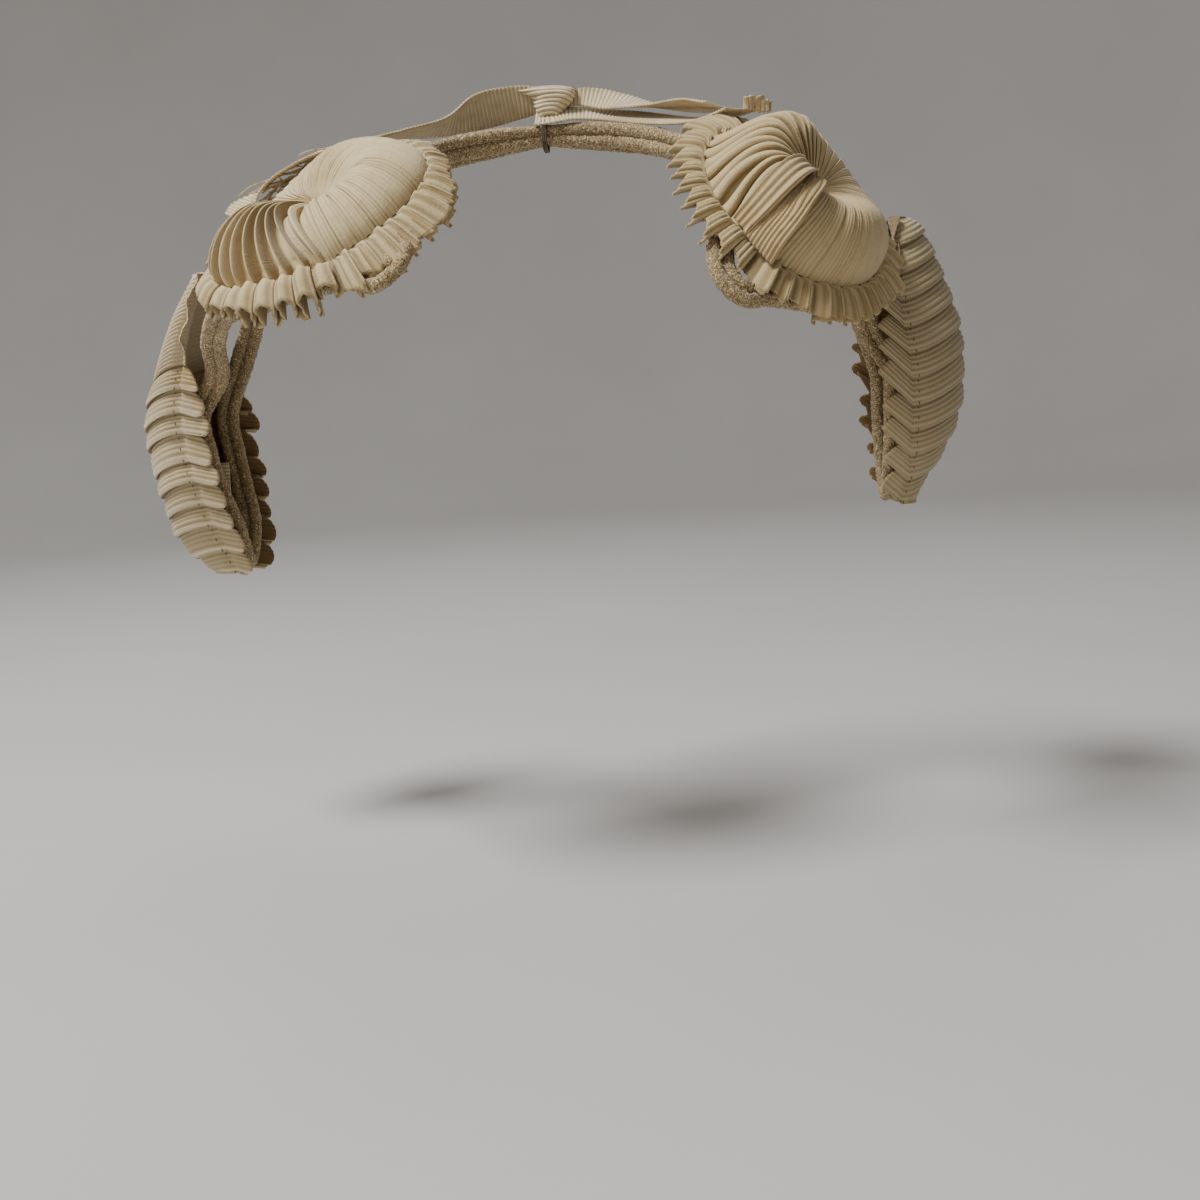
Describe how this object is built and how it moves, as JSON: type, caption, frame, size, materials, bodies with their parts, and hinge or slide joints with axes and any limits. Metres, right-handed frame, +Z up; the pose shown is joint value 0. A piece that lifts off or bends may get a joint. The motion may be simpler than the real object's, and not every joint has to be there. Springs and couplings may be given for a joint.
{
  "type": "pleated ribbon half hat",
  "caption": "Small half hat of pleated grosgrain ribbon: coiled rosettes and arched side petals on wired loops of velvet cord, tied and bowed over the crown.",
  "frame": {"origin": "the point of the wearer's crown that the middle of the hat sits on, just under the thread tie", "axes": "+X towards the wearer's left, across the head; -Y towards the front; +Z up"},
  "size_m": [0.1948, 0.085, 0.1074],
  "materials": {
    "ribbon": "matt ribbed grosgrain, cream, yellowed with age",
    "aged_ribbon": "matt ribbed grosgrain, darker from age",
    "velvet_cord": "short pile on wired cord, tan with pale specks",
    "tie_thread": "dark brown sewing thread"
  },
  "bodies": {
    "root": {"left_wing_frame": "velvet_cord", "left_wing_rosette": "ribbon", "left_wing_petal": "ribbon", "right_wing_frame": "velvet_cord", "right_wing_rosette": "ribbon", "right_wing_petal": "ribbon", "streamer_left": "aged_ribbon", "streamer_right_upper": "aged_ribbon", "streamer_right_lower": "aged_ribbon", "bow_knot": "aged_ribbon", "streamer_frill": "aged_ribbon", "crown_tie": "tie_thread", "finishing_strip": "ribbon", "inner_tab": "aged_ribbon"}
  },
  "joints": []
}
